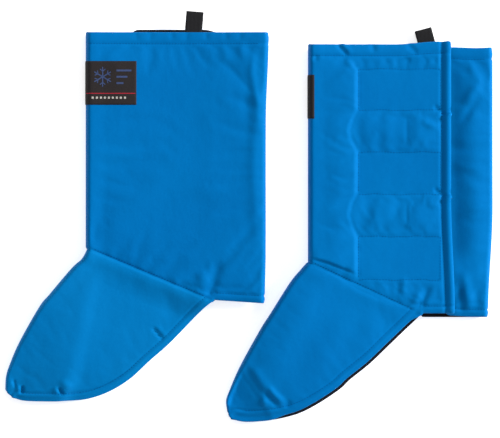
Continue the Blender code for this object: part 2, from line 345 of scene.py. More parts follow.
def settle(facts, x, y, thick):
    """How far the upper layers of a gaiter sink under their own weight."""
    front = np.vstack([[(0, LEG_TOP)], facts.front[::20]])
    hem = np.vstack([facts.hem[::-20], [(facts.width, -2.0)]])
    from_front = line_distance(x, y, front)[0]
    from_hem = line_distance(x, y, hem)[0]
    from_back = np.clip(facts.width - x, 0, None)
    middle = np.sin(math.pi * np.clip((x - 8) / (facts.width - 16), 0, 1)) * smoothstep(y, -20, 120)
    sunk = SAG * middle + DROOP * np.exp(-((from_hem / 34) ** 2)) * smoothstep(from_back, 4, 45)
    sunk += 1.5 * middle * smoothstep(y, 250, 345)
    distance, side, _ = line_distance(x, y, facts.ridge)
    below_seam = smoothstep(seam_y(facts, x) - y, 0, 40)
    fall = np.where(side > 0, distance / (distance + from_hem + 1), 0) * smoothstep(distance, 0, 25)
    most = MOST_SUNK + np.clip(thick - TOE_THICKNESS, 0, 8.0) * below_seam
    sunk += facts.ridge_fall * fall * below_seam
    sunk += facts.ankle_sag * np.exp(-(((seam_y(facts, x) - y) / 75) ** 2)) * smoothstep(from_hem, 0, 40)
    sunk *= smoothstep(from_front, 0, 24)
    for line, depth, reach in facts.slopes:
        distance, side, share = line_distance(x, y, line)
        slope = np.clip(-distance * side / reach, 0, 1) * smoothstep(-distance * side, 0, 10)
        sunk += depth * slope * taper(share, 0.12) * smoothstep(from_front, 0, 9)
    return most * np.tanh(sunk / most)


# ---- grids ---------------------------------------------------------------------------------------


def halves(values):
    """The values with their midpoints put in."""
    values = np.asarray(values, float)
    made = np.empty(2 * len(values) - 1)
    made[::2] = values
    made[1::2] = (values[1:] + values[:-1]) / 2
    return made


def halves_2d(grid):
    """A grid with its midpoints put in along both directions, gently smoothed."""
    for _ in range(2):
        made = np.empty((2 * grid.shape[0] - 1, *grid.shape[1:]))
        made[::2] = grid
        made[1::2] = (grid[1:] + grid[:-1]) / 2
        inner = made.copy()
        inner[1:-1] = (made[:-2] + 2 * made[1:-1] + made[2:]) / 4
        grid = np.swapaxes(inner, 0, 1)
    return grid


class Wall:
    """One padded wall of a gaiter, as a grid of rows (toe to top) and columns (front fold to free edge).

    Columns are numbers: 0 to 1 is the front fold's quarter turn, and 1 to 2 runs to the heel or the
    foot's hem. Past 2 only the leg goes on, to the flap's edge, or round the back fold (3 to 4) to the
    under flap's end (5). Rows are numbers from -1 at the toe, through 0 at the ankle seam, to 1 at the top.
    """

    def __init__(self, facts, side):
        self.facts = facts
        self.side = side
        self.near = (side == "inner") == facts.closure_up
        step = STEP if self.near else STEP * 1.15
        to_heel = facts.heel_x - FRONT_FOLD
        hem_zone = 22.0 / to_heel
        columns = [
            np.linspace(0, 1, 5),
            np.linspace(1, 2 - hem_zone, round(to_heel * (1 - hem_zone) / step))[1:],
            2 - hem_zone * np.linspace(1, 0, 8)[1:],
        ]
        if side == "inner":
            columns.append(np.linspace(2, 3, 1 + round((FLAP_EDGE_X - facts.heel_x) / 3.2))[1:])
        else:
            flat = facts.width - BACK_FOLD - facts.heel_x
            back = facts.width - BACK_FOLD - UNDER_FLAP_END_X
            columns.append(np.linspace(2, 3, 1 + round(flat / step))[1:])
            columns.append(np.linspace(3, 4, 9)[1:])
            columns.append(np.linspace(4, 5, 1 + round(back / step))[1:])
        self.coarse_columns = np.concatenate(columns)
        foot = np.linspace(-1, 0, round(ROWS_LENGTH / step))
        hem_rows = 1 - np.array([17.5, 15.0, 12.5, 8.5, 4.0, 0.0]) / 310
        above_seam = np.linspace(0, 0.06, 7)[1:]
        leg = np.linspace(0.06, hem_rows[0], round(ROWS_LENGTH / step))[1:-1]
        self.coarse_rows = np.concatenate([foot, above_seam, leg, hem_rows])
        self.rows = halves(self.coarse_rows)
        self.columns = halves(self.coarse_columns)

    def base(self, rows, columns):
        """(points, thickness of the gaiter there) of the smooth surface, before it sinks and creases."""
        row, column = np.meshgrid(rows, columns, indexing="ij")
        facts = self.facts
        radius = THICKNESS / 2
        sign = 1 if self.side == "inner" else -1
        angle = np.clip(column, 0, 1) * math.pi / 2
        share = np.clip(column - 1, 0, 1)
        # The leg.
        x = FRONT_FOLD * (1 - np.cos(angle)) + share * (facts.heel_x - FRONT_FOLD)
        z = radius + sign * (radius - SKIN) * np.sin(angle)
        beyond = np.clip(column - 2, 0, 1)
        under = column > UNDER_FLAP
        if self.side == "inner":
            x += beyond * (FLAP_EDGE_X - EDGE_INSET - facts.heel_x)
        else:
            turn_x = facts.width - BACK_FOLD
            x += beyond * (turn_x - facts.heel_x)
            turn = np.clip(column - 3, 0, 1) * math.pi
            half = BACK_THICKNESS / 2
            z = np.where(column > 3, half - (half - SKIN) * np.cos(turn), z)
            x += BACK_FOLD * np.sin(turn)
            x -= np.clip(column - 4, 0, 1) * (turn_x - UNDER_FLAP_END_X - EDGE_INSET)
        top = top_y(facts, self.side, x, under) - EDGE_INSET
        low = np.where(column <= 2, seam_y(facts, x), low_y(facts, self.side, x, under) + EDGE_INSET)
        step_up = smoothstep(column, 2, 2.02 if self.side == "outer" else 2.08)
        rising = seam_y(facts, facts.heel_x) * (1 - step_up) + low * step_up
        low = np.where((column > 2) & (column < 2.1), rising, low)
        leg_y = low + np.clip(row, 0, 1) * (top - low)
        leg = np.stack([x + self.lean(leg_y, x), leg_y, z], axis=-1)
        # The foot cover.
        t = np.clip(-row, 0, 1)
        at = t * (len(facts.front) - 1)
        index = np.arange(len(facts.front))
        start = interpolated(at, index, facts.front)
        end = interpolated(at, index, facts.hem)
        length = np.linalg.norm(end - start, axis=-1)
        along = (end - start) / length[..., None]
        inset = FOOT_INSET * smoothstep(t, 0, 0.03)
        if self.near:
            inset = inset + facts.near_inset * smoothstep(t, 0, 0.05) * (1 - smoothstep(t, 0.74, 0.84))
        thinner = np.clip((t - TOE_FROM) / (1 - TOE_FROM), 0, 1) ** 1.5
        thick = THICKNESS + (TOE_THICKNESS - THICKNESS) * thinner
        half = thick / 2
        fold = FRONT_FOLD * half / radius
        reach = fold * (1 - np.cos(angle)) + share * (length - inset - fold)
        foot_z = half + sign * (half - SKIN) * np.sin(angle)
        foot = np.concatenate([start + along * reach[..., None], foot_z[..., None]], axis=-1)
        in_leg = row >= 0
        points = np.where(in_leg[..., None], leg, foot)
        return points, np.where(in_leg, THICKNESS, thick)

    def lean(self, y, x):
        """How far the back fold lies from a straight line."""
        facts = self.facts
        reach = smoothstep(x, facts.heel_x, facts.width)
        if self.side == "inner":
            return np.where(x > 150, flap_flare(y) * smoothstep(x, 150, 180), 0)
        if facts.closure_up:
            return reach * (2.0 - 5.5 * (1 - smoothstep(y, 0, 140)))
        return reach * (4.0 * smoothstep(y, 225, 345) - 1.2 * (1 - smoothstep(y, 0, 60)))

    def quads(self, rows, columns):
        """Faces of the grid, turned outwards. Past the hem of the foot cover it has no cloth."""
        row, column = np.meshgrid(rows, columns, indexing="ij")
        faces = grid_faces((row < 0) & (column > 2))
        return faces[:, ::-1] if self.side == "outer" else faces

    def relief(self, x, y, column, row):
        """Height of the seams, hems and creases above the smooth padding, outwards."""
        facts = self.facts
        leg = row >= 0
        under = column > UNDER_FLAP
        z = np.zeros_like(x)
        # The ankle seam, on the walls only.
        seam = [facts.front[0], facts.hem[0]]
        seam_depth = facts.seam_depth * (1 - 0.55 * smoothstep(x, 0.55 * facts.heel_x, facts.heel_x))
        z += np.where(under, 0, crease(x, y, seam, 2.2, -seam_depth, ends=0))
        from_seam = line_distance(x, y, seam)[0]
        z += np.where(under | leg, 0, -groove(from_seam - 9, seam_depth, 8))
        # Hems: a stitched groove and a thinner edge.
        top = top_y(facts, self.side, x, under)
        z += np.where(leg, groove(top - TOP_STITCH - y, facts.hem_groove, 1.9), 0)
        z -= np.where(leg, 1.1 * smoothstep(y, top - 9, top + 1), 0)
        from_hem = facts.from_hem(x, y)
        if self.near and facts.near_inset:
            from_hem = from_hem - facts.near_inset
        foot_hem = ~leg & (column > 0.7)
        hem_end = leg & (column < 2) & (row < 0.1)
        z += np.where(foot_hem | hem_end, groove(from_hem - FOOT_HEM, 0.9, 1.7), 0)
        z -= np.where(foot_hem, 1.4 * (1 - smoothstep(from_hem, 0, 6)), 0)
        low = low_y(facts, self.side, x, under)
        behind = leg & (x > facts.heel_x) | under
        z += np.where(behind, groove(y - low - HEEL_HEM, 1.1, 1.7), 0)
        z -= np.where(behind, 1.2 * (1 - smoothstep(y - low, 0, 6)), 0)
        if self.side == "inner":
            z += self.flap_relief(x, y, leg)
        if self.near:
            z += left_creases(x, y) if self.side == "outer" else right_creases(x, y)
        if self.side == "outer" and facts.closure_up:
            z += np.where(column > 3.2, creases(x, y, BACK_CREASES), 0)
        return z

    def flap_relief(self, x, y, leg):
        """The closure flap's stitched edge and the boxes of stitching that hold its tapes."""
        edge = FLAP_EDGE_X + flap_flare(y)
        stitch = FLAP_SEAM_X + flap_flare(y)
        z = np.where(leg, groove(x - stitch, 1.7, 2.2), 0)
        middle = (edge + stitch) / 2 + 1.5
        z -= np.where(leg & (x > stitch - 1), groove(x - middle, 2.0, 4.2), 0)
        for low, high in TAPE_ROWS:
            for y_line in (low, high):
                inside = smoothstep(x, BOX_X[0] - 1, BOX_X[0] + 3) * (1 - smoothstep(x, 166, 170))
                depth = 0.42 + 0.16 * np.sin(x / 7.5 + y_line)
                z += np.where(leg, groove(y - y_line - wobble(x + y_line), depth, 1.7) * inside, 0)
        return z


# Each crease is (line, width, height, how much of its ends fades out), with a valley's height below 0.
LEFT_CREASES = (
    # Soft folds down the foot.
    ([(0, 60), (-10, 10), (-22, -60), (-32, -112)], 26, 0.6, 0.3),
    ([(62, 18), (50, -20), (38, -78)], 15, 0.5, 0.4),
    ([(105, 8), (84, -18), (60, -62)], 16, 0.8, 0.4),
    # The dent and the bulge above the heel.
    ([(156, -2), (160, 16), (171, 56)], 6.5, -2.1, 0.3),
    ([(146, 14), (152, 44)], 8, 1.8, 0.5),
    # The pull of the strap's stitching on the hem.
    ([(84, -31), (90, -38), (99, -49)], 1.7, -2.4, 0.25),
    ([(88, -29), (95, -36), (104, -45)], 2.6, 0.9, 0.25),
    # Behind the toe.
    ([(-34, -98), (-24, -106), (-14, -110)], 5, 1.6, 0.4),
    # Along the back fold.
    ([(216, 338), (211, 290), (219, 250), (222, 205)], 5, 1.4, 0.3),
    ([(222, 320), (217, 250), (214, 160), (220, 40)], 8, 1.6, 0.3),
    ([(205, 300), (204, 240), (212, 196)], 6, -0.5, 0.4),
    # Broad waves in the leg.
    ([(196, 338), (200, 300)], 7, 1.2, 0.5),
    ([(170, 338), (178, 316), (172, 290)], 9, 0.9, 0.5),
    ([(112, 170), (150, 150), (196, 120)], 22, 0.9, 0.5),
    ([(60, 240), (110, 215), (160, 225)], 24, -0.8, 0.5),
    ([(14, 110), (11, 85), (8, 70)], 6, -1.0, 0.4),
)
RIGHT_CREASES = (
    # Folds in the top hem.
    ([(36, 347), (43, 339), (52, 330)], 2.4, -2.2, 0.3),
    ([(41, 348), (48, 340), (57, 331)], 3.2, 1.0, 0.3),
    ([(12, 332), (8, 322)], 3.0, -1.6, 0.4),
    ([(80, 346), (86, 334)], 3.4, -1.6, 0.4),
    ([(123, 346), (134, 338), (141, 331)], 3.0, -1.5, 0.4),
    # Pulls beside the tapes' boxes and the flap's seam.
    ([(46, 326), (60, 316)], 4.0, 2.2, 0.4),
    ([(140, 251), (154, 243), (168, 240)], 4.5, 2.0, 0.4),
    ([(148, 146), (160, 141), (169, 146)], 6, 1.6, 0.4),
    # The ankle and the heel.
    ([(28, 57), (66, 33), (98, 20), (116, 13)], 2.4, -0.8, 0.3),
    ([(113, 46), (116, 36), (112, 24)], 5, -1.6, 0.4),
    ([(126, 52), (120, 36), (121, 22)], 5, 1.3, 0.4),
    ([(156, 42), (148, 24), (135, 6)], 5, -2.2, 0.3),
    ([(144, 30), (134, 14)], 5, 1.6, 0.4),
    # The toe.
    ([(-83, -60), (-75, -76), (-64, -92), (-54, -106)], 6, -1.8, 0.3),
    ([(-72, -60), (-60, -82), (-46, -102)], 7, 1.5, 0.3),
    ([(-52, -86), (-44, -98), (-28, -114)], 3.6, 2.2, 0.35),
    ([(-58, -92), (-48, -106), (-36, -118)], 3.2, -2.0, 0.35),
    ([(-60, -104), (-52, -116)], 4, 1.6, 0.4),
    ([(-22, -106), (-30, -118)], 4, -1.6, 0.4),
    # Soft folds down the foot.
    ([(10, 44), (-8, 8), (-40, -52), (-58, -92)], 24, 2.4, 0.3),
    ([(58, 22), (30, -30), (2, -92)], 18, 1.4, 0.4),
    ([(96, 4), (60, -52)], 14, 1.2, 0.4),
)
BACK_CREASES = (
    ([(196, 268), (210, 286), (226, 296)], 6, 2.4, 0.4),
    ([(192, 240), (208, 266), (222, 282)], 5, -1.8, 0.4),
    ([(200, 330), (212, 306), (228, 292)], 5, 1.6, 0.4),
    ([(214, 330), (210, 240), (214, 120), (212, 30)], 14, 1.8, 0.2),
    ([(182, 330), (183, 200), (186, 60)], 12, -3.0, 0.12),
    ([(196, 62), (202, 32), (206, 2)], 6, 2.0, 0.3),
    ([(190, 44), (195, 18), (197, 0)], 5, -1.8, 0.3),
    ([(214, 40), (216, 4)], 5, -1.2, 0.4),
    ([(200, 200), (212, 150), (206, 96)], 14, 1.0, 0.4),
)
ANKLE_FOLD = [(0, 73), (25, 67), (41, 60.5), (64, 51)]
FLAP_ROOT = [(63.5, 40), (63, 101), (56, 118), (53, 128), (56, 142), (63, 156), (63.5, 208), (55, 226),
             (53, 236), (57, 248), (63.5, 262), (63.5, 313), (55, 322), (46, 329)]
# (x, y, lean, depth) of each small pleat at the left toe's hem.
TOE_PLEATS = ((-90, -104, 2, -1.6), (-81, -112, 0, -3.6), (-31, -114, 4, -3.8))
# (x, lean) of the small folds in the left gaiter's top hem.
TOP_FOLDS = ((62, 5), (84, -3), (108, 4), (131, -5), (152, 3), (176, 4), (198, -3))


def creases(x, y, table):
    """The creases of a table, added up."""
    return sum(crease(x, y, *row) for row in table)


def left_creases(x, y):
    """What the left gaiter's upper side shows."""
    z = creases(x, y, LEFT_CREASES)
    for toe_x, toe_y, lean, depth in TOE_PLEATS:
        pleat = [(toe_x - lean, toe_y + 7), (toe_x + lean * 0.6, toe_y - 6)]
        z += crease(x, y, pleat, 1.9, depth, 0.35)
        beside = [(toe_x - 5 - lean, toe_y + 8), (toe_x - 4, toe_y - 5)]
        z += crease(x, y, beside, 3.0, -0.4 * depth, 0.35)
    for top_x, lean in TOP_FOLDS:
        z += crease(x, y, [(top_x, 345), (top_x + lean, 331)], 3.2, -0.8, 0.4)
    return z


def right_creases(x, y):
    """What the right gaiter's upper side shows."""
    z = creases(x, y, RIGHT_CREASES)
    boxed = sum(smoothstep(y, low - 5, low + 5) * (1 - smoothstep(y, high - 5, high + 5))
                for low, high in TAPE_ROWS)
    z += tuck(x, y, FLAP_ROOT, 2.6, 26, 0.05) * (0.55 + 0.45 * boxed)
    z += crease(x, y, FLAP_ROOT, 1.5, -1.1, 0.08) * (0.4 + 0.6 * boxed)
    z += tuck(x, y, ANKLE_FOLD, 1.9, 16, 0.2)
    z += crease(x, y, ANKLE_FOLD, 1.8, -0.9, 0.25)
    for x_at in (98, 112, 126, 149, 160):
        z += crease(x, y, [(x_at, 329), (x_at + 2, 318)], 3.2, -0.6, 0.4)
    for low, high in ((101.5, 154), (208, 261)):
        for x_at, lean in ((82, 5), (104, -4), (121, 6), (140, -3)):
            z += crease(x, y, [(x_at, low + 6), (x_at + lean, high - 6)], 8, 0.8, 0.4)
    for y_at in (155, 260):
        z += crease(x, y, [(169, y_at - 4), (177, y_at - 1), (186, y_at + 4)], 1.8, -3.4, 0.1)
        z += crease(x, y, [(170, y_at - 9), (177, y_at - 7), (184, y_at - 3)], 2.6, 1.8, 0.15)
        z += crease(x, y, [(158, y_at + 7), (170, y_at)], 2.2, -2.2, 0.4)
    return z


def grid_faces(missing):
    """Corner indices of the grid's quads, leaving out the missing points."""
    rows, columns = missing.shape
    index = np.arange(rows * columns).reshape(rows, columns)
    quads = np.stack([index[:-1, :-1], index[:-1, 1:], index[1:, 1:], index[1:, :-1]], axis=-1).reshape(-1, 4)
    return quads[~missing.reshape(-1)[quads].any(axis=1)]


def mesh_object(name, points, faces, smooth=True):
    mesh = bpy.data.meshes.new(name)
    mesh.from_pydata(np.asarray(points, float).tolist(), [], [list(map(int, f)) for f in faces])
    mesh.update()
    if smooth:
        mesh.shade_smooth()
    piece = bpy.data.objects.new(name, mesh)
    bpy.context.scene.collection.objects.link(piece)
    return piece


def compact(points, faces):
    """Drops the points that no face uses. Returns (points, faces, old index of each point)."""
    used = np.unique(faces)
    number = np.full(len(points), -1)
    number[used] = np.arange(len(used))
    return points[used], number[faces], used


def vertex_normals(points, faces):
    """Unit normals of the points of quads."""
    a, b, c, d = (points[faces[:, k]] for k in range(4))
    face_normals = np.cross(c - a, d - b)
    normals = np.zeros_like(points)
    for k in range(4):
        np.add.at(normals, faces[:, k], face_normals)
    return unit(normals)


def inflate(wall):
    """How far the padding moves each point of the coarse grid, by a cloth simulation held at the seams."""
    points, _ = wall.base(wall.coarse_rows, wall.coarse_columns)
    moved = np.zeros_like(points)
    row, column = np.meshgrid(wall.coarse_rows, wall.coarse_columns, indexing="ij")
    faces = wall.quads(wall.coarse_rows, wall.coarse_columns)
    flat, small, used = compact(points.reshape(-1, 3), faces)
    piece = mesh_object("padding", flat * MM, small)
    held = held_weight(wall, points, row, column).reshape(-1)[used]
    group = piece.vertex_groups.new(name="held")
    for k, weight in enumerate(held):
        if weight > 0.01:
            group.add([k], float(weight), "REPLACE")
    cloth = piece.modifiers.new("cloth", "CLOTH")
    cloth.point_cache.frame_start = 1
    cloth.point_cache.frame_end = FRAMES
    for key, value in CLOTH.items():
        setattr(cloth.settings, key, value)
    cloth.settings.effector_weights.gravity = 0.0
    scene = bpy.context.scene
    for number in range(1, FRAMES + 1):
        scene.frame_set(number)
    shaped = piece.evaluated_get(bpy.context.evaluated_depsgraph_get()).to_mesh()
    after = np.empty(len(flat) * 3)
    shaped.vertices.foreach_get("co", after)
    after = after.reshape(-1, 3) / MM
    scene.frame_set(1)
    bpy.data.objects.remove(piece)
    moved.reshape(-1, 3)[used] = after - flat
    pillow = blurred(moved, 7)
    wrinkles = PUFF_KEPT * (moved - pillow)
    size = np.linalg.norm(wrinkles, axis=-1, keepdims=True)
    return wrinkles * MOST_PUFFED * np.tanh(size / MOST_PUFFED) / np.maximum(size, 1e-6)


def blurred(grid, spread):
    """A grid smoothed over the given number of cells."""
    reach = 2 * spread
    weights = np.exp(-((np.arange(-reach, reach + 1) / spread) ** 2))
    weights /= weights.sum()
    for _ in range(2):
        padded = np.pad(grid, ((reach, reach), (0, 0), (0, 0)), mode="edge")
        grid = sum(w * padded[k: k + grid.shape[0]] for k, w in enumerate(weights))
        grid = np.swapaxes(grid, 0, 1)
    return grid


def held_weight(wall, points, row, column):
    """1 where seams hold the cloth in the simulation and 0 where it is free."""
    facts = wall.facts
    x, y = points[..., 0], points[..., 1]
    under = column > UNDER_FLAP
    top = top_y(facts, wall.side, x, under)
    low = low_y(facts, wall.side, x, under)
    leg = row >= 0
    seams = [
        column < 0.6,
        leg & (y > top - TOP_STITCH - 2.5),
        np.abs(row) < 0.004,
        ~leg & (facts.from_hem(x, y) < FOOT_HEM + 2),
        row <= -0.97,
        leg & (column > 2) & (y < low + HEEL_HEM + 1),
    ]
    if wall.side == "inner":
        seams.append((x > FLAP_SEAM_X - 2) & leg)
        for low, high in TAPE_ROWS:
            seams.append((x > TAPE_X[0] - 3) & (x < TAPE_X[1] + 2) & (y > low - 2) & (y < high + 2))
    else:
        seams += [(column > 3.1) & (column < 3.9), column > 4.9]
    return np.any(seams, axis=0).astype(float)


def build_outer(wall):
    """Gives the wall its fine grid of points, in the gaiter's own frame."""
    moved = halves_2d(inflate(wall))
    points, thick = wall.base(wall.rows, wall.columns)
    faces = wall.quads(wall.rows, wall.columns)
    row, column = np.meshgrid(wall.rows, wall.columns, indexing="ij")
    x, y = points[..., 0], points[..., 1]
    normals = vertex_normals(points.reshape(-1, 3), faces).reshape(points.shape)
    height = wall.relief(x, y, column, row) * smoothstep(column, 0.0, 0.8)
    calm = np.where(row < 0, 0.35, smoothstep(x, 2, 40)) * smoothstep(column, 0.2, 1.3)
    points = points + normals * height[..., None] + moved * calm[..., None]
    upper = settle(wall.facts, x, y, thick)
    if wall.near and wall.side == "inner":
        points[..., 2] -= upper
    elif wall.near:
        points[..., 2] += upper * (1 - smoothstep(column, 3.0, 4.0))
    elif wall.side == "outer":
        points[..., 2] -= upper * smoothstep(column, 3.3, 4.0)
    if not wall.near:
        points[..., 2] = np.clip(points[..., 2], 0.2, THICKNESS - 0.2 if wall.side == "inner" else None)
    wall.faces = faces
    wall.points = points
    wall.thick = thick
    wall.normals = vertex_normals(points.reshape(-1, 3), faces).reshape(points.shape)
    padding = thickness_of(wall, x, y, row, column, thick) + 0.7 * height
    wall.depth = np.clip(padding, LEAST_WALL, WALL + 2.0)


def thickness_of(wall, x, y, row, column, thick):
    """Thickness of the padded wall: thin at its stitched edges."""
    facts = wall.facts
    under = column > UNDER_FLAP
    leg = row >= 0
    top = top_y(facts, wall.side, x, under)
    low = low_y(facts, wall.side, x, under)
    edges = [
        (leg, top - y),
        (~leg, facts.from_hem(x, y)),
        (leg & (column > 2), y - low),
        (~leg, (row + 1) * ROWS_LENGTH),
        (leg, FLAP_EDGE_X - x + 5) if wall.side == "inner" else (column > 4, x - UNDER_FLAP_END_X),
    ]
    edge = np.min([np.where(where, distance, 99) for where, distance in edges], axis=0)
    full = np.minimum(WALL, (thick - 2 * SKIN - settle(facts, x, y, thick)) / 2 - 0.4)
    hem = np.minimum(HEM_WALL, full)
    return hem + (full - hem) * smoothstep(edge, 6, 24)


def join_fronts(inner, outer):
    """Makes the two walls of a gaiter meet smoothly along the front fold."""
    both = unit(inner.normals[:, 0] + interpolated(inner.rows, outer.rows, outer.normals[:, 0]))
    inner.normals[:, 0] = both
    outer.normals[:, 0] = interpolated(outer.rows, inner.rows, both)


def open_edges(wall):
    """The edges of the wall's cloth that belong to one face only, apart from those on the front fold."""
    rows, columns = wall.points.shape[:2]
    edges = {}
    for face in wall.faces:
        for a, b in zip(face, np.roll(face, -1)):
            edges[(int(a), int(b))] = True
    fold = set(range(0, rows * columns, columns))
    return [(a, b) for a, b in edges if (b, a) not in edges and not (a in fold and b in fold)]


def wall_object(wall):
    """The closed padded wall: outer cloth, rolled edge and lining."""
    facts = wall.facts
    points = wall.points.reshape(-1, 3)
    normals = wall.normals.reshape(-1, 3)
    depth = wall.depth.reshape(-1, 1)
    flat_thick = wall.thick.reshape(-1)
    inside = points - normals * depth
    rim = open_edges(wall)
    outward = {}
    for a, b in rim:
        direction = unit(np.cross(points[b] - points[a], normals[a] + normals[b]))
        for k in (a, b):
            outward[k] = outward.get(k, 0) + direction
    ring, rounds, thick = {}, [], [*flat_thick, *flat_thick]
    for k, direction in outward.items():
        direction = unit(direction)
        middle = (points[k] + inside[k]) / 2
        ring[k] = []
        for turn in np.radians((45, 90, 135)):
            ring[k].append(len(thick))
            outwards = math.cos(turn) * normals[k] + math.sin(turn) * direction
            rounds.append(middle + depth[k, 0] / 2 * outwards)
            thick.append(flat_thick[k])
    in_foot = wall.rows[np.arange(len(points)) // wall.points.shape[1]] <= 0
    made = [*wall.faces, *(wall.faces[:, ::-1] + len(points))]
    slots = [FOOT_SLOT if in_foot[face].all() else SHELL_SLOT for face in wall.faces]
    slots += [LINING_SLOT] * len(wall.faces)
    for a, b in rim:
        chain_a = [a, *ring[a], a + len(points)]
        chain_b = [b, *ring[b], b + len(points)]
        cloth = FOOT_SLOT if in_foot[[a, b]].all() else SHELL_SLOT
        for k in range(4):
            made.append((chain_b[k], chain_a[k], chain_a[k + 1], chain_b[k + 1]))
            slots.append(cloth if k < 2 else LINING_SLOT)
    placed = facts.place(np.vstack([points, inside, rounds]), np.array(thick))
    made = np.array(made)
    if facts.flip:
        made = made[:, ::-1]
    placed, made, used = compact(placed, made)
    piece = mesh_object(f"{facts.name}_{wall.side}_wall", placed, made)
    for cloth in ("shell", "lining", facts.foot_cloth_and_light):
        piece.data.materials.append(MATERIALS[cloth])
    piece.data.polygons.foreach_set("material_index", slots)
    set_normals(piece, wall, used, len(points))
    return piece


def set_normals(piece, wall, used, count):
    """Keeps the shading smooth across the front fold, where the two walls meet."""
    made = np.empty(len(used) * 3)
    piece.data.vertices.foreach_get("normal", made)
    made = made.reshape(-1, 3)
    columns = wall.points.shape[1]
    fold = wall.normals[:, 0] * np.array([1, 1, -1 if wall.facts.flip else 1])
    for k, old in enumerate(used):
        if old < 2 * count and old % columns == 0:
            made[k] = fold[(old % count) // columns] * (-1 if old >= count else 1)
    piece.data.normals_split_custom_set_from_vertices(made.tolist())


# ---- materials -----------------------------------------------------------------------------------


class Nodes:
    """A short way to write a material's node tree."""

    def __init__(self, name):
        self.material = bpy.data.materials.new(name)
        self.material.use_nodes = True
        self.tree = self.material.node_tree
        self.shader = self.tree.nodes["Principled BSDF"]
        self.place = self.add("ShaderNodeTexCoord").outputs["Object"]

    def add(self, kind, **settings):
        node = self.tree.nodes.new(kind)
        for key, value in settings.items():
            setattr(node, key, value)
        return node

    def link(self, source, target):
        self.tree.links.new(source, target)

    def noise(self, scale, detail=3.0, roughness=0.5, stretch=(1, 1, 1)):
        node = self.add("ShaderNodeTexNoise")
        node.inputs["Scale"].default_value = scale
        node.inputs["Detail"].default_value = detail
        node.inputs["Roughness"].default_value = roughness
        self.link(self.scaled(stretch), node.inputs["Vector"])
        return node.outputs["Fac"]

    def scaled(self, scale, turn=0.0):
        node = self.add("ShaderNodeMapping")
        node.inputs["Scale"].default_value = scale
        node.inputs["Rotation"].default_value = (0, 0, math.radians(turn))
        self.link(self.place, node.inputs["Vector"])
        return node.outputs["Vector"]

    def wave(self, scale, direction, turn=0.0):
        node = self.add("ShaderNodeTexWave", wave_type="BANDS", bands_direction=direction)
        node.inputs["Scale"].default_value = scale
        self.link(self.scaled((1, 1, 1), turn), node.inputs["Vector"])
        return node.outputs["Fac"]

    def math(self, operation, a, b):
        node = self.add("ShaderNodeMath", operation=operation)
        for socket, value in zip(node.inputs, (a, b)):
            if isinstance(value, (int, float)):
                socket.default_value = value
            else:
                self.link(value, socket)
        return node.outputs[0]

    def span(self, value, low, high, to_low, to_high):
        node = self.add("ShaderNodeMapRange")
        for key, number in zip(("From Min", "From Max", "To Min", "To Max"), (low, high, to_low, to_high)):
            node.inputs[key].default_value = number
        self.link(value, node.inputs["Value"])
        return node.outputs["Result"]

    def mix(self, share, one, two):
        node = self.add("ShaderNodeMix", data_type="RGBA")
        self.link(share, node.inputs["Factor"])
        for key, value in (("A", one), ("B", two)):
            socket = next(s for s in node.inputs if s.name == key and s.type == "RGBA")
            if isinstance(value, tuple):
                socket.default_value = (*value, 1)
            else:
                self.link(value, socket)
        return next(s for s in node.outputs if s.type == "RGBA")

    def bump(self, height, distance, below=None, strength=1.0):
        node = self.add("ShaderNodeBump")
        node.inputs["Distance"].default_value = distance
        node.inputs["Strength"].default_value = strength
        self.link(height, node.inputs["Height"])
        if below is not None:
            self.link(below, node.inputs["Normal"])
        return node.outputs["Normal"]

    def set(self, **values):
        for key, value in values.items():
            socket = self.shader.inputs[key.replace("_", " ")]
            if isinstance(value, (int, float, tuple)):
                socket.default_value = (*value, 1) if isinstance(value, tuple) else value
            else:
                self.link(value, socket)
        return self.material


def bands(pitch):
    """A wave texture's scale for bands at the given pitch, in metres."""
    return math.pi / (10 * pitch)


def woven(nodes, pitch, turn=0.0):
    """Height of a plain weave with the given distance between threads, in metres."""
    return nodes.math("MAXIMUM", nodes.wave(bands(pitch), "X", turn), nodes.wave(bands(pitch), "Y", turn))


def shell_material(name, dark, light, worn):
    """Coated nylon: a fine tight weave, a soft sheen, and small crinkles. A paler copy of it paints light
    onto the left foot, which slopes towards the key light.
    """
    n = Nodes(name)
    cloth = n.noise(9, 4, 0.55)
    tone = n.mix(n.span(cloth, 0.3, 0.7, 0, 1), dark, light)
    fine = n.noise(420, 2, 0.6)
    tone = n.mix(n.span(fine, 0.35, 0.65, 0, 0.25), tone, worn)
    crinkle = n.noise(52, 5, 0.62)
    wide = n.noise(15, 3, 0.5, (1, 0.6, 1))
    normal = n.bump(wide, 0.0016)
    normal = n.bump(crinkle, 0.0005, normal)
    normal = n.bump(woven(n, 0.00055), 0.00004, normal, 0.6)
    rough = n.span(crinkle, 0.3, 0.7, 0.62, 0.72)
    return n.set(Base_Color=tone, Roughness=rough, Specular_IOR_Level=0.18, Specular_Tint=(0.03, 0.45, 1.0),
                 Sheen_Weight=0.04, Sheen_Roughness=0.4, Sheen_Tint=(0.05, 0.4, 1.0), Normal=normal)


def lining_material():
    """Dark knitted lining."""
    n = Nodes("knit_lining")
    tone = n.mix(n.noise(300, 3, 0.6), (0.003, 0.004, 0.008), (0.010, 0.011, 0.018))
    normal = n.bump(n.noise(40, 4, 0.6), 0.0006)
    normal = n.bump(woven(n, 0.0011, 45), 0.00012, normal)
    return n.set(Base_Color=tone, Roughness=0.85, Specular_IOR_Level=0.15, Sheen_Weight=0.05, Normal=normal)


def webbing_material():
    """Black webbing with ribs across it."""
    n = Nodes("black_webbing")
    ribs = n.math("MAXIMUM", n.wave(bands(0.0017), "X"), n.wave(bands(0.0011), "Y"))
    tone = n.mix(ribs, (0.002, 0.002, 0.003), (0.010, 0.010, 0.012))
    normal = n.bump(ribs, 0.00022)
    return n.set(Base_Color=tone, Roughness=0.62, Specular_IOR_Level=0.2, Sheen_Weight=0.03, Normal=normal)


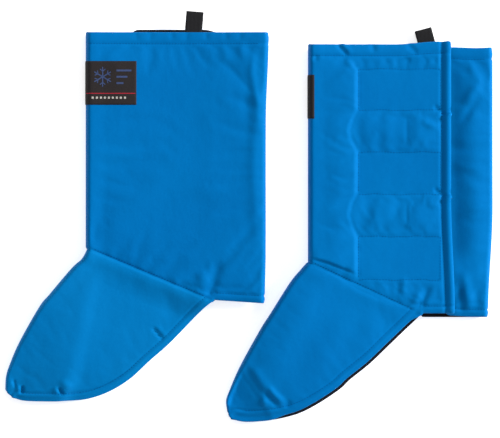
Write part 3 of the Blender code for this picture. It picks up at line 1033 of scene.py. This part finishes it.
def tape_material(name, hooks):
    """Hook tape has stiff small hooks in rows. Loop tape has a soft matted pile."""
    n = Nodes(name)
    if hooks:
        pile = n.math("MULTIPLY", n.wave(bands(0.0016), "X"), n.wave(bands(0.0012), "Y"))
        tone = n.mix(pile, (0.001, 0.045, 0.16), (0.004, 0.12, 0.36))
        normal = n.bump(pile, 0.0005)
    else:
        pile = n.noise(900, 5, 0.75)
        tone = n.mix(pile, (0.001, 0.06, 0.2), (0.006, 0.17, 0.46))
        normal = n.bump(pile, 0.0006)
    return n.set(Base_Color=tone, Roughness=0.8, Specular_IOR_Level=0.25,
                 Sheen_Weight=0.06, Sheen_Tint=(0.05, 0.3, 0.8), Normal=normal)


def thread_material(name, colour):
    """Twisted sewing thread."""
    n = Nodes(name)
    twist = n.wave(900, "DIAGONAL")
    tone = n.mix(twist, tuple(0.7 * c for c in colour), colour)
    return n.set(Base_Color=tone, Roughness=0.6, Specular_IOR_Level=0.2, Specular_Tint=(0.03, 0.45, 1.0),
                 Normal=n.bump(twist, 0.0001))


def label_material(name, dark, light):
    """Woven label cloth."""
    n = Nodes(name)
    weave = woven(n, 0.0005)
    tone = n.mix(weave, dark, light)
    return n.set(Base_Color=tone, Roughness=0.75, Specular_IOR_Level=0.15, Normal=n.bump(weave, 0.00006))


MATERIALS = {
    "shell": shell_material("coated_nylon", (0.0, 0.134, 0.41), (0.0, 0.150, 0.44), (0.001, 0.17, 0.47)),
    # The paler copy paints light onto the left gaiter's foot, which slopes towards the key light.
    "painted_light_shell": shell_material("coated_nylon_pale", (0.0, 0.153, 0.43), (0.001, 0.172, 0.465),
                                 (0.002, 0.19, 0.49)),
    "lining": lining_material(),
    "webbing": webbing_material(),
    "hook": tape_material("hook_tape", True),
    "loop": tape_material("loop_tape", False),
    "thread": thread_material("blue_thread", (0.0005, 0.11, 0.34)),
    "label": label_material("label_cloth", (0.009, 0.008, 0.008), (0.026, 0.021, 0.022)),
    "label_blue": label_material("label_blue_weave", (0.02, 0.035, 0.10), (0.05, 0.08, 0.19)),
    "label_red": label_material("label_red_weave", (0.25, 0.008, 0.02), (0.42, 0.02, 0.04)),
    "label_white": label_material("label_white_weave", (0.32, 0.30, 0.27), (0.55, 0.52, 0.48)),
}


# ---- trim ----------------------------------------------------------------------------------------


def surface_at(wall, reach, heights):
    """(points, normals) of the leg's cloth at an arc length past the front fold, for a run of heights."""
    across = wall.base([0.6], wall.columns)[0][0]
    at = np.interp(reach, lengths_along(across), np.arange(len(wall.columns)))
    left = min(int(at), len(wall.columns) - 2)
    share = at - left
    leg = wall.rows >= 0
    points, normals = (grid[leg, left] * (1 - share) + grid[leg, left + 1] * share
                       for grid in (wall.points, wall.normals))
    return [interpolated(heights, points[:, 1], grid) for grid in (points, normals)]


def grid_border(rows, columns):
    """Numbers of a grid's outermost points, once round."""
    index = np.arange(rows * columns).reshape(rows, columns)
    return np.concatenate([index[0, :], index[1:, -1], index[-1, -2::-1], index[-2:0:-1, 0]])


def closed_sheet(facts, above, up, shape):
    """Faces of a thin closed sheet: a grid of points below and the same grid, above, after it."""
    quads = grid_faces(np.zeros(shape, bool))
    count = shape[0] * shape[1]
    border = grid_border(*shape)
    rim = [(a, b, b + count, a + count) for a, b in zip(border, np.roll(border, -1))]
    faces = np.array([*(quads + count), *quads[:, ::-1], *rim])
    a, b, _, d = quads[0]
    outwards = np.cross(above[b] - above[a], above[d] - above[a]) @ up[a]
    return faces[:, ::-1] if (outwards < 0) != facts.flip else faces


def slab(name, facts, points, normals, thickness, material, edge=0.35):
    """A thin closed sheet on a grid of points, with its edges rounded over."""
    shape = points.shape[:2]
    flat = points.reshape(-1, 3)
    up = normals.reshape(-1, 3)
    border = grid_border(*shape)
    lifted = flat + up * thickness
    lifted[border] -= up[border] * edge
    faces = closed_sheet(facts, flat, up, shape)
    piece = mesh_object(name, facts.place(np.vstack([flat, lifted])), faces)
    piece.data.materials.append(material)
    return piece


def flat_slab(name, facts, x, y, z, up, *rest):
    """A slab on grids of x, y and z, which thickens upwards where up is 1 and downwards where it is -1."""
    points = np.stack([x, y, z], axis=-1)
    normals = np.zeros_like(points)
    normals[..., 2] = up
    return slab(name, facts, points, normals, *rest)


# Rings of a stitch: (share of its length, share of its width, height).
STITCH_RINGS = ((-0.5, 0.35, -0.25), (-0.34, 0.9, 0.12), (0.0, 1.0, 0.26), (0.34, 0.9, 0.12),
                (0.5, 0.35, -0.25))
STITCH_SIDES = 5


def stitch_run(points, normals, length=2.6, gap=1.1, width=0.36):
    """(points, faces) of a row of stitches along a path: each a small arch of thread."""
    steps = lengths_along(points)
    made, faces = [], []
    turns = 2 * math.pi * np.arange(STITCH_SIDES) / STITCH_SIDES
    for n in range(int(steps[-1] // (length + gap))):
        middle = (n + 0.5) * (length + gap)
        at = interpolated(middle, steps, points)
        up = unit(interpolated(middle, steps, normals))
        along = interpolated(middle + 0.8, steps, points) - at
        if np.linalg.norm(along) < 1e-6:
            continue
        along = unit(along)
        across = np.cross(along, up)
        start = len(made)
        for share, size, lift in STITCH_RINGS:
            centre = at + along * share * length + up * lift
            made += [centre + size * width * (math.cos(t) * across + math.sin(t) * 0.7 * up) for t in turns]
        sides = start + np.arange(STITCH_SIDES)
        beside = np.roll(sides, -1)
        last = (len(STITCH_RINGS) - 1) * STITCH_SIDES
        for ring in range(0, last, STITCH_SIDES):
            for a, b in zip(sides + ring, beside + ring):
                faces.append((a, b, b + STITCH_SIDES, a + STITCH_SIDES))
        faces.append(tuple(sides[::-1]))
        faces.append(tuple(sides + last))
    return made, faces


class Surface:
    """Finds points on a wall's outer cloth, straight above or below a plan point."""

    def __init__(self, wall):
        self.outward = 1 if wall.side == "inner" else -1
        self.tree = BVHTree.FromPolygons(wall.points.reshape(-1, 3).tolist(), wall.faces.tolist())

    def line(self, plan, spacing=1.5, upper=False):
        """(points, normals) along a plan line. upper takes the under flap and not the outer wall."""
        plan = np.asarray(plan, float)
        steps = lengths_along(plan)
        outward = 1 if upper else self.outward
        found, normals = [], []
        for x, y in interpolated(np.arange(0, steps[-1], spacing), steps, plan):
            hit, normal, _, _ = self.tree.ray_cast(Vector((x, y, 100.0 * outward)), Vector((0, 0, -outward)))
            if hit is not None:
                found.append(hit)
                normals.append(normal if normal.z * outward > 0 else -normal)
        return np.array(found), np.array(normals)


def stitching(facts, wall, lines, on_under_flap=()):
    """One piece with the stitches of several plan lines on a wall."""
    surface = Surface(wall)
    points, faces = [], []
    for number, line in enumerate(lines):
        on, normals = surface.line(line, upper=number in on_under_flap)
        if len(on) < 4:
            continue
        made, made_faces = stitch_run(on, normals)
        faces += [tuple(k + len(points) for k in face) for face in made_faces]
        points += made
    placed = facts.place(np.array(points))
    if facts.flip:
        faces = [face[::-1] for face in faces]
    piece = mesh_object(f"{facts.name}_{wall.side}_stitching", placed, faces)
    piece.data.materials.append(MATERIALS["thread"])
    return piece


def foot_hem_line(facts, wall, last=0.97):
    """Plan line of the stitching along the foot cover's hem."""
    inset = FOOT_HEM + (facts.near_inset if wall.near else 0.0)
    hem = facts.hem[: int(len(facts.hem) * last)]
    ahead = unit(np.gradient(hem, axis=0))
    inward = np.stack([ahead[:, 1], -ahead[:, 0]], axis=1)
    return (hem + inward * inset)[4::4]


def tape_box(low, high):
    """Plan line of the stitching round a tape, which strays a little along its long sides."""
    across = np.linspace(*BOX_X, 40)
    bottom, top = (np.stack([across, y + wobble(across + y)], axis=1) for y in (low, high))
    return np.vstack([bottom, top[::-1], bottom[:1]])


def make_stitching(facts, walls):
    """Stitches along every hem, the ankle seam and the tapes."""
    hem_x, hem_y = facts.hem[0]
    seam = [facts.front[0] + np.array([9.0, -1.4]), facts.hem[0] + np.array([-9.0, 5.8])]

    def level(edge, side, xs, under, off):
        return np.stack([xs, edge(facts, side, xs, np.full(len(xs), under)) + off], axis=1)

    ys = np.linspace(12, 340, 40)
    inner_lines = [
        level(top_y, "inner", np.linspace(3, FLAP_SEAM_X + 8, 30), False, -TOP_STITCH),
        np.stack([FLAP_SEAM_X + flap_flare(ys), ys], axis=1),
        foot_hem_line(facts, walls["inner"]),
        seam,
        [(hem_x + 4, hem_y + HEEL_HEM), (FLAP_SEAM_X + 8, hem_y + HEEL_HEM)],
        *(tape_box(low, high) for low, high in TAPE_ROWS),
    ]
    end = facts.width - 5
    under_x = np.linspace(UNDER_FLAP_END_X + 6, end, 30)
    outer_lines = [
        level(top_y, "outer", np.linspace(3, end, 40), False, -TOP_STITCH),
        foot_hem_line(facts, walls["outer"]),
        seam,
        level(low_y, "outer", np.linspace(facts.heel_x + 5, end, 20), False, HEEL_HEM),
        level(top_y, "outer", under_x, True, -TOP_STITCH),
        level(low_y, "outer", under_x, True, HEEL_HEM),
    ]
    inner = stitching(facts, walls["inner"], inner_lines)
    bend(inner)
    outer = stitching(facts, walls["outer"], outer_lines, on_under_flap=(4, 5))
    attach(outer, f"{facts.name}_gaiter")


def bend(piece):
    """Bakes the piece's place into its mesh."""
    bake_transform(piece)


def make_label(facts, walls):
    """The woven label round the front fold, with generic marks."""
    rows, columns = 26, 48
    reach = np.linspace(*LABEL_REACH, columns)
    height = np.linspace(*LABEL_Y, rows)
    points = np.empty((rows, columns, 3))
    normals = np.empty_like(points)
    for k, far in enumerate(reach):
        wall = walls["outer"] if far > 0 else walls["inner"]
        points[:, k], normals[:, k] = surface_at(wall, abs(far), height)
    points = points + normals * LABEL_GAP
    name = f"{facts.name}_label_cloth"
    label = slab(name, facts, points, normals, LABEL_THICKNESS, MATERIALS["label"], 0.3)
    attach(label, f"{facts.name}_gaiter")
    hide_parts(f"{facts.name}_label")
    make_label_marks(facts, points + normals * LABEL_THICKNESS, normals, reach, height)


def strip_on(grids, reach, height, path, width):
    """Two rows of places on each of the grids, one each side of a path of (reach, height) points."""
    path = np.asarray(path, float)
    steps = lengths_along(path)
    count = max(2, int(steps[-1] / 1.5) + 1)
    middle = interpolated(np.linspace(0, steps[-1], count), steps, path)
    ahead = unit(np.gradient(middle, axis=0))
    across = np.stack([-ahead[:, 1], ahead[:, 0]], axis=1) * width / 2
    plan = np.stack([middle - across, middle + across], axis=0)
    column = np.interp(plan[..., 0], reach, np.arange(len(reach)))
    row = np.interp(plan[..., 1], height, np.arange(len(height)))
    left = np.clip(column.astype(int), 0, len(reach) - 2)
    below = np.clip(row.astype(int), 0, len(height) - 2)
    right_share, upper_share = (column - left)[..., None], (row - below)[..., None]
    made = []
    for grid in grids:
        lower, upper = (grid[r, left] * (1 - right_share) + grid[r, left + 1] * right_share
                        for r in (below, below + 1))
        made.append(lower * (1 - upper_share) + upper * upper_share)
    return made


def arm(start, degrees, length):
    """The end of a straight line on the label."""
    turn = math.radians(degrees)
    return np.asarray(start) + length * np.array([math.cos(turn), math.sin(turn)])


def label_marks(right_end):
    """(material, path on the label, width) of each mark: a line, small squares, a snow crystal and bars."""
    low, high = LABEL_Y
    line_y = low + 14.5
    marks = [("label_red", [(8.0, line_y), (right_end, line_y)], 1.1)]
    for k in range(9):
        x = 17.0 + 5.2 * k
        marks.append(("label_white", [(x, low + 9.0), (x + 2.6, low + 9.0)], 2.6))
    centre = (31.0, high - 20.0)
    for degrees in (30, 90, 150):
        marks.append(("label_blue", [arm(centre, degrees, -12.5), arm(centre, degrees, 12.5)], 1.5))
    for degrees in range(30, 390, 60):
        root = arm(centre, degrees, 7.0)
        for spread in (-50, 50):
            marks.append(("label_blue", [root, arm(root, degrees + spread, 4.6)], 1.2))
    for k, size in enumerate((19.0, 14.0, 9.0)):
        y = high - 12.0 - 8.0 * k
        marks.append(("label_blue", [(49.0, y), (49.0 + size, y)], 2.4))
    return marks


def make_label_marks(facts, points, normals, reach, height):
    """Each colour's marks, as one piece of thin raised strips."""
    marks = label_marks(reach[-1] - 1.5)
    for colour in ("label_blue", "label_red", "label_white"):
        all_points, all_faces = [], []
        for path, width in (mark[1:] for mark in marks if mark[0] == colour):
            on, up = strip_on((points, normals), reach, height, path, width)
            shape = on.shape[:2]
            on, up = on.reshape(-1, 3), up.reshape(-1, 3)
            lifted = on + up * MARK_HEIGHT
            all_faces += (closed_sheet(facts, lifted, up, shape) + len(all_points)).tolist()
            all_points += [*(on - up * MARK_ROOT), *lifted]
        name = f"{facts.name}_{colour}"
        piece = mesh_object(name, facts.place(np.array(all_points)), all_faces, smooth=False)
        piece.data.materials.append(MATERIALS[colour])
        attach(piece, f"{facts.name}_gaiter")


def make_tapes(facts):
    """Hook tape on the flap's inner face and loop tape on the under flap, sunk with their layers."""
    for (low, high), row in zip(TAPE_ROWS, ("bottom", "middle", "top")):
        y, x = np.meshgrid(np.linspace(low, high, 16), np.linspace(*TAPE_X, 30), indexing="ij")
        sunk = settle(facts, x, y, THICKNESS) if facts.closure_up else np.zeros_like(x)
        for kind, z, up in (("hook", HOOK_Z, -1), ("loop", LOOP_Z, 1)):
            name = f"{facts.name}_{kind}_tape_{row}_cloth"
            tape = flat_slab(name, facts, x, y, z - sunk, up, TAPE_THICKNESS, MATERIALS[kind], 0.3)
            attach(tape, f"{facts.name}_{'flap' if kind == 'hook' else 'gaiter'}")
            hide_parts(f"{facts.name}_{kind}_tape_{row}")


def make_pull_tab(facts):
    """A loop of folded webbing whose root sits in the hem."""
    tab_x, tilt, length = facts.tab
    tilt = math.radians(tilt)
    middle, half_gap, ply = 5.5, 0.92, 0.62
    up_values = np.linspace(-TAB_ROOT, length - 2.0, 22)
    plies = np.stack([up_values, ply + 0.3 * smoothstep(up_values, 1, 8)], axis=1)
    turns = np.linspace(0.15, math.pi - 0.15, 9)
    loop = np.stack([length - 1.6 + half_gap * 1.6 * np.sin(turns), half_gap * np.cos(turns)], axis=1)
    spine = np.vstack([plies, loop, plies[::-1] * (1, -1)])
    ahead = unit(np.gradient(spine, axis=0))
    out = np.stack([-ahead[:, 1], ahead[:, 0]], axis=1)
    across = np.linspace(-TAB_WIDTH / 2, TAB_WIDTH / 2, 12)
    rows = []
    for sign, run in ((1, across), (-1, across[::-1])):
        for a in run:
            thin = 0.42 if abs(a) < TAB_WIDTH / 2 - 0.1 else 0.25
            section = spine + out * thin * sign
            x = tab_x + a * math.cos(tilt) - section[:, 0] * math.sin(tilt)
            y = TAB_HINGE_Y + a * math.sin(tilt) + section[:, 0] * math.cos(tilt)
            rows.append(np.stack([x, y, middle + section[:, 1]], axis=-1))
    count, steps = len(rows), len(spine)
    flat = np.array(rows).reshape(-1, 3)
    faces = []
    for r in range(count):
        for s in range(steps - 1):
            a, b = r * steps + s, ((r + 1) % count) * steps + s
            faces.append((a, a + 1, b + 1, b))
    for s in (0, steps - 1):
        for r in range(count // 2 - 1):
            opposite = count - 1 - r
            faces.append([n * steps + s for n in (r, r + 1, opposite - 1, opposite)])
    sunk = tab_sunk(facts, flat)
    flat[:, 2] += sunk if facts.flip else -sunk
    tab = mesh_object(f"{facts.name}_pull_tab_webbing", facts.place(flat), faces)
    recalculate(tab)
    tab.data.materials.append(MATERIALS["webbing"])
    for up in (-2.5, 2.5):
        point = [tab_x - up * math.sin(tilt), TAB_HINGE_Y + up * math.cos(tilt), middle]
        facts.place(point)
    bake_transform(tab)
    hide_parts(f"{facts.name}_pull_tab", f"{facts.name}_pull_tab_root")


def tab_sunk(facts, flat):
    """The tab's sewn root goes down with the hem it is sewn to."""
    if facts.closure_up:
        return np.zeros(len(flat))
    return settle(facts, flat[:, 0], np.full(len(flat), 340.0), THICKNESS)


def recalculate(piece):
    """Turns every face outwards."""
    mesh = bmesh.new()
    mesh.from_mesh(piece.data)
    bmesh.ops.recalc_face_normals(mesh, faces=mesh.faces)
    mesh.to_mesh(piece.data)
    mesh.free()


def make_strap(facts):
    """The instep strap, tucked flat into the foot cover against the outer wall's lining."""
    width, length = STRAP
    at = 0.245 if facts.name == "left" else 0.2
    n = round(at * (len(facts.hem) - 1))
    ahead = unit(facts.hem[n + 2] - facts.hem[n])
    inward = np.array([ahead[1], -ahead[0]])
    if inward @ (facts.front[n] - facts.hem[n]) < 0:
        inward = -inward
    start = facts.hem[n] + inward * STRAP_INSET
    a, b = np.meshgrid(np.linspace(-width / 2, width / 2, 9), np.linspace(0, length, 40), indexing="ij")
    x = start[0] + ahead[0] * a + inward[0] * b
    y = start[1] + ahead[1] * a + inward[1] * b
    z = np.full_like(x, STRAP_Z)
    if facts.flip:
        z = z + settle(facts, x, y, THICKNESS)
    name = f"{facts.name}_strap_webbing"
    strap = flat_slab(name, facts, x, y, z, 1, STRAP_THICKNESS, MATERIALS["webbing"], 0.5)
    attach(strap, f"{facts.name}_gaiter")
    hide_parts(f"{facts.name}_instep_strap")


# ---- putting it together -------------------------------------------------------------------------

INNER_NODES = ("flap_shell", "flap_insulation", "flap_lining", "flap_hem", "flap_foot_shell",
               "flap_foot_insulation", "flap_foot_lining", "flap_foot_hem", "foot_hem_toe")
OUTER_NODES = ("leg_shell", "leg_insulation", "leg_lining", "leg_top_hem", "leg_heel_hem", "foot_shell",
               "foot_insulation", "foot_lining", "foot_hem_outer_side")


def make_walls(facts):
    """Both walls of a gaiter as inflated grids that meet along the front fold."""
    walls = {side: Wall(facts, side) for side in ("inner", "outer")}
    for wall in walls.values():
        build_outer(wall)
    join_fronts(walls["inner"], walls["outer"])
    return walls


def make_gaiter(facts, walls):
    inner = wall_object(walls["inner"])
    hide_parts(*(f"{facts.name}_{node}" for node in INNER_NODES))
    bend(inner)
    outer = wall_object(walls["outer"])
    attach(outer, f"{facts.name}_gaiter")
    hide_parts(*(f"{facts.name}_{node}" for node in OUTER_NODES))
    make_label(facts, walls)
    make_tapes(facts)
    make_pull_tab(facts)
    make_strap(facts)
    make_stitching(facts, walls)


def make_floor():
    """A pale floor just under the lowest stitches."""
    size = 6.0
    floor = mesh_object("floor", [(-size, -size, 0), (size, -size, 0), (size, size, 0), (-size, size, 0)],
                        [(0, 1, 2, 3)], smooth=False)
    floor.location.z = FLOOR_Z * MM
    n = Nodes("pale_floor")
    floor.data.materials.append(n.set(Base_Color=(0.93, 0.93, 0.93), Roughness=0.9, Specular_IOR_Level=0.1,
                                      Emission_Color=(1, 1, 1), Emission_Strength=0.6))


def make_light(name, place, size, power, target=(0, 0, 0)):
    light = bpy.data.lights.new(name, "AREA")
    light.shape = "SQUARE"
    light.size = size
    light.energy = power
    lamp = bpy.data.objects.new(name, light)
    lamp.location = place
    lamp.rotation_euler = (Vector(place) - Vector(target)).to_track_quat("Z", "Y").to_euler()
    bpy.context.scene.collection.objects.link(lamp)


def make_studio():
    """Soft light from all round, a large key light from the right, and the camera straight above."""
    world = bpy.data.worlds.new("studio")
    bpy.context.scene.world = world
    world.use_nodes = True
    background = world.node_tree.nodes["Background"]
    background.inputs["Color"].default_value = (1, 1, 1, 1)
    background.inputs["Strength"].default_value = 0.44
    make_light("key", (6.0, 2.0, 2.7), 2.2, 730)
    make_light("top", (0.3, 0.6, 3.0), 2.4, 14)
    camera_data = bpy.data.cameras.new("camera")
    camera = bpy.data.objects.new("camera", camera_data)
    height, view_width = 6.0, 0.635
    camera.location = (0.0009, -0.00495, height)
    camera_data.sensor_width = 36.0
    camera_data.lens = camera_data.sensor_width * (height - 0.02) / view_width
    camera_data.clip_end = 50
    bpy.context.scene.collection.objects.link(camera)
    bpy.context.scene.camera = camera
    bpy.context.scene.view_settings.view_transform = "Standard"


padding = [make_walls(gaiter) for gaiter in PAIR]
for gaiter, gaiter_walls in zip(PAIR, padding):
    make_gaiter(gaiter, gaiter_walls)
make_floor()
make_studio()
